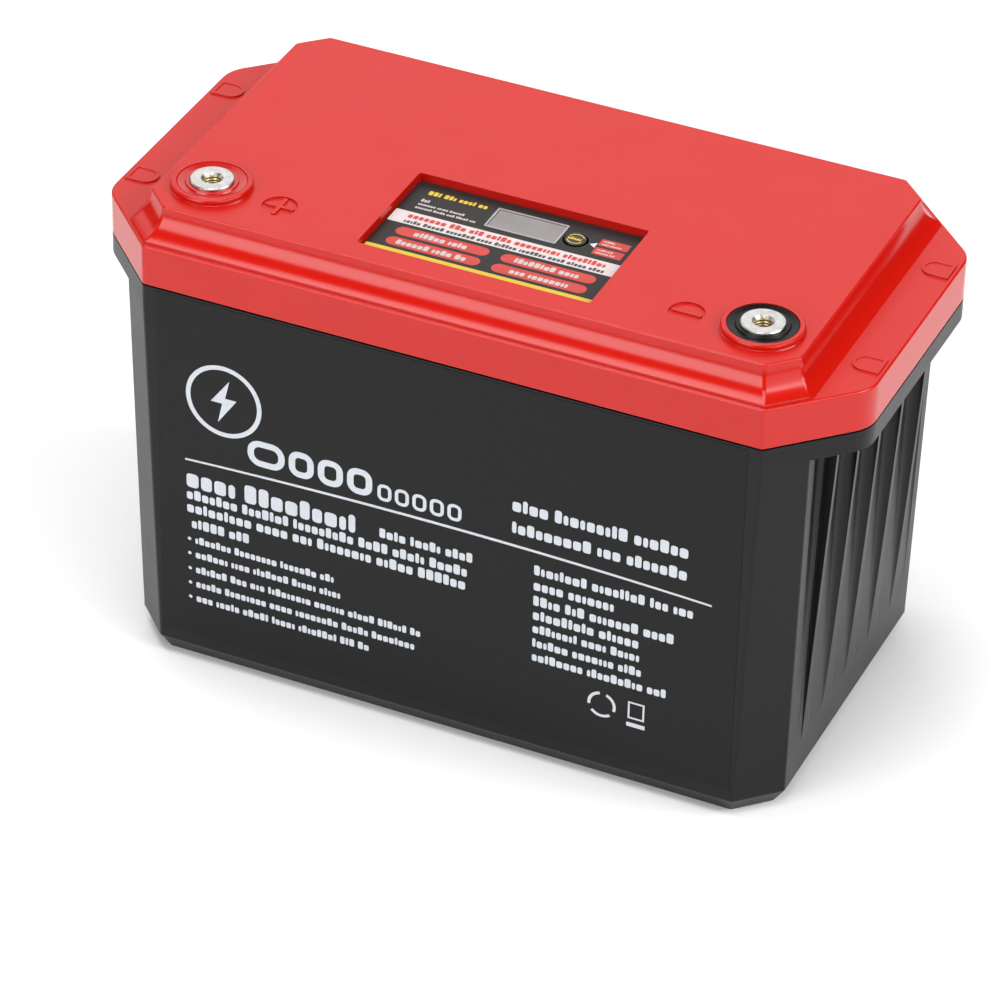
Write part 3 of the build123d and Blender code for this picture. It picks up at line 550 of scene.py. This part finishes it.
def label_print():
    """Print on the display label, one piece for each ink."""
    band_low = label_low.x / MM + 0.6
    band_high = label_high.x / MM - 0.6
    print_on("label_band", [bar(band_low, band_high, -39.4, -30.2, 0.2)], on_label, ink_band)
    stripe = bar(band_low, band_high, -63.4, -58.0, 0.3)
    print_on("label_stripe", [stripe], on_label, ink_yellow)
    pills = [
        bar(-41.0, -0.7, -47.8, -41.6),
        bar(-41.4, -1.0, -55.9, -49.7),
        bar(4.6, 45.0, -47.9, -41.7),
        bar(4.2, 44.6, -56.0, -49.8),
    ]
    boxes = [bar(35.2, 47.6, -20.2, -15.0, 0.2), bar(35.2, 47.6, -26.9, -21.6, 0.2)]
    print_on("label_red_fields", pills + boxes, on_label, ink_red)
    print_on("label_title", words(-41.0, -14.0, -15.4, -12.4, 31), on_label, ink_yellow)
    pale = words(-41.4, -34.4, -21.3, -19.1, 32)
    pale += words(-41.4, -20.0, -24.0, -22.4, 33)
    pale += words(-41.4, -14.6, -26.8, -25.2, 34)
    print_on("label_small_print", pale, on_label, ink_pale)
    pointer = [(32.0, -20.7), (34.7, -22.6), (34.7, -18.8)]
    print_on("label_pointer", [pointer], on_label, ink_white)
    lift = 2 * INK
    print_on("band_red_line", words(-41.0, 46.0, -34.7, -31.3, 35), on_label, ink_red, lift)
    print_on("band_grey_line", words(-41.0, 45.5, -38.5, -36.0, 36), on_label, ink_grey, lift)
    field_text = []
    field_lines = ((-33, -8.6, -44.7), (-37, -6, -52.8), (10.5, 39.5, -44.8), (12.0, 37.0, -52.9))
    for i, (low, high, y) in enumerate(field_lines):
        field_text += words(low, high, y - 1.7, y + 1.7, 40 + i)
    for i, y in enumerate((-16.6, -18.7, -23.2, -25.3)):
        field_text += words(36.4, 43.0 + (i % 2) * 3.4, y - 0.6, y + 0.6, 50 + i)
    print_on("field_print", field_text, on_label, ink_pale, lift)
    surround = [
        arc_band(button_x, button_y, 5.6, 0.25, 0, 180),
        arc_band(button_x, button_y, 5.6, 0.25, 180, 360),
    ]
    print_on("button_surround", surround, on_label, ink_grey)


label_print()

button_marks = [
    arc_band(button_x, button_y, 3.6, 0.45, 25, 155),
    arc_band(button_x, button_y, 3.6, 0.45, 205, 335),
]
button_marks += words(button_x - 3.2, button_x + 3.4, button_y - 0.9, button_y + 0.9, 60)
print_on("button_print", button_marks, on_button, ink_yellow, body="push_button")


# ---------------------------------------------------------------- threads in the terminals

def thread(name, node):
    """Internal thread: a helical ridge on the wall of the bore."""
    low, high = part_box(node)
    cx = (low.x + high.x) / 2
    cy = (low.y + high.y) / 2
    wall = 3.42 * MM
    crest = 3.08 * MM
    pitch = 1.25 * MM
    root = 0.45 * pitch
    flat = 0.08 * pitch
    top = high.z - 1.3 * MM
    turns = 8
    steps = 48
    bm = bmesh.new()
    rows = []
    for i in range(turns * steps + 1):
        angle = 2 * math.pi * i / steps
        z = top - pitch * i / steps
        ends = min(i, turns * steps - i) / (steps / 2)
        inner = wall - (wall - crest) * min(1.0, ends)
        row = []
        for radius, dz in ((wall, root), (inner, flat), (inner, -flat), (wall, -root)):
            row.append(bm.verts.new((cx + radius * math.cos(angle), cy + radius * math.sin(angle), z + dz)))
        rows.append(row)
    for a, b in zip(rows, rows[1:]):
        for k in range(3):
            bm.faces.new((a[k], b[k], b[k + 1], a[k + 1]))
    obj = new_object(name, mesh_from_bmesh(name, bm, True), brass.material)
    return obj


thread("thread_positive", "terminal_positive")
thread("thread_negative", "terminal_negative")


# ---------------------------------------------------------------- floor, light and camera

def floor():
    """Plain pale floor."""
    mat = Nodes("floor_pale")
    cloud = mat.remap(mat.noise(1.5, 2.0), 0.3, 0.7)
    mat.plug(mat.mix(cloud, (0.92, 0.92, 0.92), (0.94, 0.94, 0.94)), "Base Color")
    mat.set(Roughness=0.7)
    bm = bmesh.new()
    bmesh.ops.create_grid(bm, x_segments=1, y_segments=1, size=12.0)
    obj = link(bpy.data.objects.new("floor", mesh_from_bmesh("floor", bm)))
    obj.data.materials.append(mat.material)


def softbox(name, location, aim, width, height, power):
    """Rectangular soft light aimed at a point."""
    data = bpy.data.lights.new(name, "AREA")
    data.shape = "RECTANGLE"
    data.size = width
    data.size_y = height
    data.energy = power
    obj = link(bpy.data.objects.new(name, data))
    obj.location = location
    direction = Vector(aim) - Vector(location)
    obj.rotation_euler = direction.to_track_quat("-Z", "Y").to_euler()


def black_card(name, place, width, height):
    """Upright black card that only darkens what glossy surfaces reflect."""
    mat = Nodes(name)
    felt = mat.remap(mat.noise(300.0, 2.0), 0.2, 0.8)
    mat.plug(mat.mix(felt, (0.003, 0.003, 0.003), (0.006, 0.006, 0.006)), "Base Color")
    mat.set(Roughness=0.9)
    across = Vector((-place[1], place[0], 0.0)).normalized() * width / 2
    foot = Vector((place[0], place[1], 0.0))
    rise = Vector((0.0, 0.0, height))
    mesh = bpy.data.meshes.new(name)
    corners = [foot - across, foot + across, foot + across + rise, foot - across + rise]
    mesh.from_pydata(corners, [], [(0, 1, 2, 3)])
    mesh.materials.append(mat.material)
    obj = link(bpy.data.objects.new(name, mesh))
    obj.visible_camera = False
    obj.visible_diffuse = False
    obj.visible_shadow = False


def studio():
    """World light, softboxes and two black cards.

    The world is brightest at the horizon, as a white room is, and dim overhead.
    """
    world = bpy.data.worlds.new("world")
    world.use_nodes = True
    background = world.node_tree.nodes["Background"]
    background.inputs["Color"].default_value = (1.0, 1.0, 1.0, 1.0)
    direction = world.node_tree.nodes.new("ShaderNodeTexCoord").outputs["Generated"]
    split = world.node_tree.nodes.new("ShaderNodeSeparateXYZ")
    fade = world.node_tree.nodes.new("ShaderNodeMapRange")
    fade.inputs["From Min"].default_value = 0.02
    fade.inputs["From Max"].default_value = 0.12
    fade.inputs["To Min"].default_value = 0.5
    fade.inputs["To Max"].default_value = 0.05
    world.node_tree.links.new(direction, split.inputs[0])
    world.node_tree.links.new(split.outputs["Z"], fade.inputs["Value"])
    world.node_tree.links.new(fade.outputs["Result"], background.inputs["Strength"])
    scene.world = world
    middle = (0.0, 0.0, 0.12)
    lamps = (
        ("front", (-0.85, -2.15, 1.15), 1.7, 1.5, 38.0),
        ("right_front", (2.1, -1.0, 1.05), 1.7, 1.5, 12.0),
        ("overhead", (-0.2, -0.2, 2.2), 2.2, 1.1, 35.0),
        ("back", (-0.9, 2.3, 1.7), 3.0, 1.8, 25.0),
        ("left", (-2.4, 0.3, 1.0), 2.0, 1.2, 9.0),
        ("right", (2.4, 0.2, 2.0), 1.8, 1.6, 64.0),
    )
    for name, location, width, height, power in lamps:
        softbox(name, location, middle, width, height, power)
    black_card("card_right", (0.95, 0.95), 1.6, 0.55)
    black_card("card_left", (-1.25, 0.15), 1.2, 0.5)


def camera():
    """Long lens from above the right of the labelled front."""
    azimuth = math.radians(23.65)
    elevation = math.radians(34.80)
    roll = math.radians(1.456)
    data = bpy.data.cameras.new("camera")
    data.sensor_width = 36.0
    data.lens = 184.3
    data.clip_end = 30.0
    obj = link(bpy.data.objects.new("camera", data))
    obj.location = (0.6896, -1.6040, 1.2763)
    aim = Euler((math.pi / 2 - elevation, 0.0, azimuth)).to_matrix()
    obj.rotation_euler = (aim @ Matrix.Rotation(roll, 3, "Z")).to_euler()
    scene.camera = obj


floor()
studio()
camera()
scene.view_settings.view_transform = "Standard"

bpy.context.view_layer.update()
